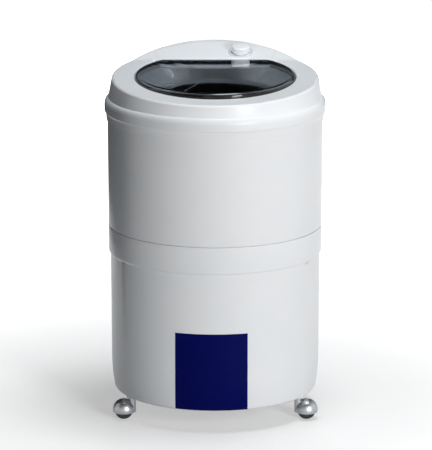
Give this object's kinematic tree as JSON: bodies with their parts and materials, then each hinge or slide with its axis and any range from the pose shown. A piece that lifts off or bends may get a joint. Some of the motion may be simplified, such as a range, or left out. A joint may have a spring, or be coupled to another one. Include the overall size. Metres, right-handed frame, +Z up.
{
  "type": "washing machine",
  "caption": "Round top-loading washing machine: moulded shells, sloping top with a hinged smoked lid and timer knob, impeller drive below the tub, ball casters.",
  "frame": {"origin": "on the ground under the tub's axis, at the bottom centre of the bounding box", "axes": "+Z up along the tub's axis, -Y towards the front, +X to the right seen from the front"},
  "size_m": [0.472, 0.472, 0.768],
  "materials": {
    "white_shell": "satin moulded ABS",
    "dial_plastic": "satin",
    "grey_collar": "fine moulded texture",
    "smoked_lid": "smoked acrylic, glossy",
    "tub_plastic": "moulded polypropylene",
    "steel": "machined",
    "galvanised_plate": "galvanised sheet",
    "motor_can": "pressed steel, painted",
    "cast_alloy": "die cast",
    "black_rubber": "moulded",
    "plated_hood": "satin plated",
    "wheel_rubber": "moulded"
  },
  "bodies": {
    "cabinet": {"lower_shell": "white_shell", "upper_shell": "white_shell", "top_cover": "white_shell", "control_panel": "white_shell", "inner_collar": "grey_collar", "timer_body": "white_shell", "dial_ring": "dial_plastic", "tub": "tub_plastic", "tub_floor": "tub_plastic", "shaft_seal": "black_rubber", "bearing_housing": "cast_alloy", "upper_bearing": "steel", "lower_bearing": "steel", "drive_belt": "black_rubber", "motor_housing": "motor_can", "motor_stator": "steel", "motor_bearings": "steel", "motor_grommets": "black_rubber", "motor_bolts": "steel", "drive_plate": "galvanised_plate", "plate_bolts": "steel", "housing_bolts": "steel", "base_tray": "grey_collar", "base_screws": "steel", "capacitor": "white_shell", "capacitor_clip": "galvanised_plate", "drain_pipe": "black_rubber", "drain_outlet": "grey_collar", "cord_gland": "black_rubber"},
    "lid": {"lid": "smoked_lid", "hinge_pins": "steel"},
    "timer_knob": {"timer_knob": "white_shell", "timer_spindle": "steel"},
    "pulsator": {"pulsator": "grey_collar", "pulsator_screw": "steel", "drive_shaft": "steel", "drive_pulley": "cast_alloy", "pulley_nut": "steel"},
    "motor_rotor": {"motor_rotor": "steel", "motor_pulley": "cast_alloy"},
    "caster_left": {"hood_left": "plated_hood", "stem_left": "steel", "axle_left": "steel"},
    "wheel_left": {"wheel_left": "wheel_rubber"},
    "caster_right": {"hood_right": "plated_hood", "stem_right": "steel", "axle_right": "steel"},
    "wheel_right": {"wheel_right": "wheel_rubber"},
    "caster_rear": {"hood_rear": "plated_hood", "stem_rear": "steel", "axle_rear": "steel"},
    "wheel_rear": {"wheel_rear": "wheel_rubber"}
  },
  "joints": [
    {"name": "lid_hinge", "type": "hinge", "parent": "cabinet", "child": "lid", "pos_m": [0, 0.11881, 0.73562], "axis": [-1, 0, 0], "range_deg": [0, 95]},
    {"name": "timer_turn", "type": "hinge", "parent": "cabinet", "child": "timer_knob", "pos_m": [0.055, 0.1595, 0.74732], "axis": [0, 0.2785, -0.9604], "range_deg": [0, 300]},
    {"name": "pulsator_spin", "type": "hinge", "parent": "cabinet", "child": "pulsator", "pos_m": [0, 0, 0.271], "axis": [0, 0, 1], "continuous": true},
    {"name": "motor_spin", "type": "hinge", "parent": "cabinet", "child": "motor_rotor", "pos_m": [0.128, 0, 0.096], "axis": [0, 0, 1], "continuous": true},
    {"name": "swivel_left", "type": "hinge", "parent": "cabinet", "child": "caster_left", "pos_m": [-0.17753, -0.1025, 0.047], "axis": [0, 0, 1], "continuous": true},
    {"name": "roll_left", "type": "hinge", "parent": "caster_left", "child": "wheel_left", "pos_m": [-0.19553, -0.1025, 0.02], "axis": [0, 1, 0], "continuous": true},
    {"name": "swivel_right", "type": "hinge", "parent": "cabinet", "child": "caster_right", "pos_m": [0.17753, -0.1025, 0.047], "axis": [0, 0, 1], "continuous": true},
    {"name": "roll_right", "type": "hinge", "parent": "caster_right", "child": "wheel_right", "pos_m": [0.19553, -0.1025, 0.02], "axis": [0, 1, 0], "continuous": true},
    {"name": "swivel_rear", "type": "hinge", "parent": "cabinet", "child": "caster_rear", "pos_m": [0, 0.205, 0.047], "axis": [0, 0, 1], "continuous": true},
    {"name": "roll_rear", "type": "hinge", "parent": "caster_rear", "child": "wheel_rear", "pos_m": [0.018, 0.205, 0.02], "axis": [0, 1, 0], "continuous": true}
  ],
  "couplings": [
    {"joint": "motor_spin", "follows": "pulsator_spin", "ratio": 4.1694}
  ]
}
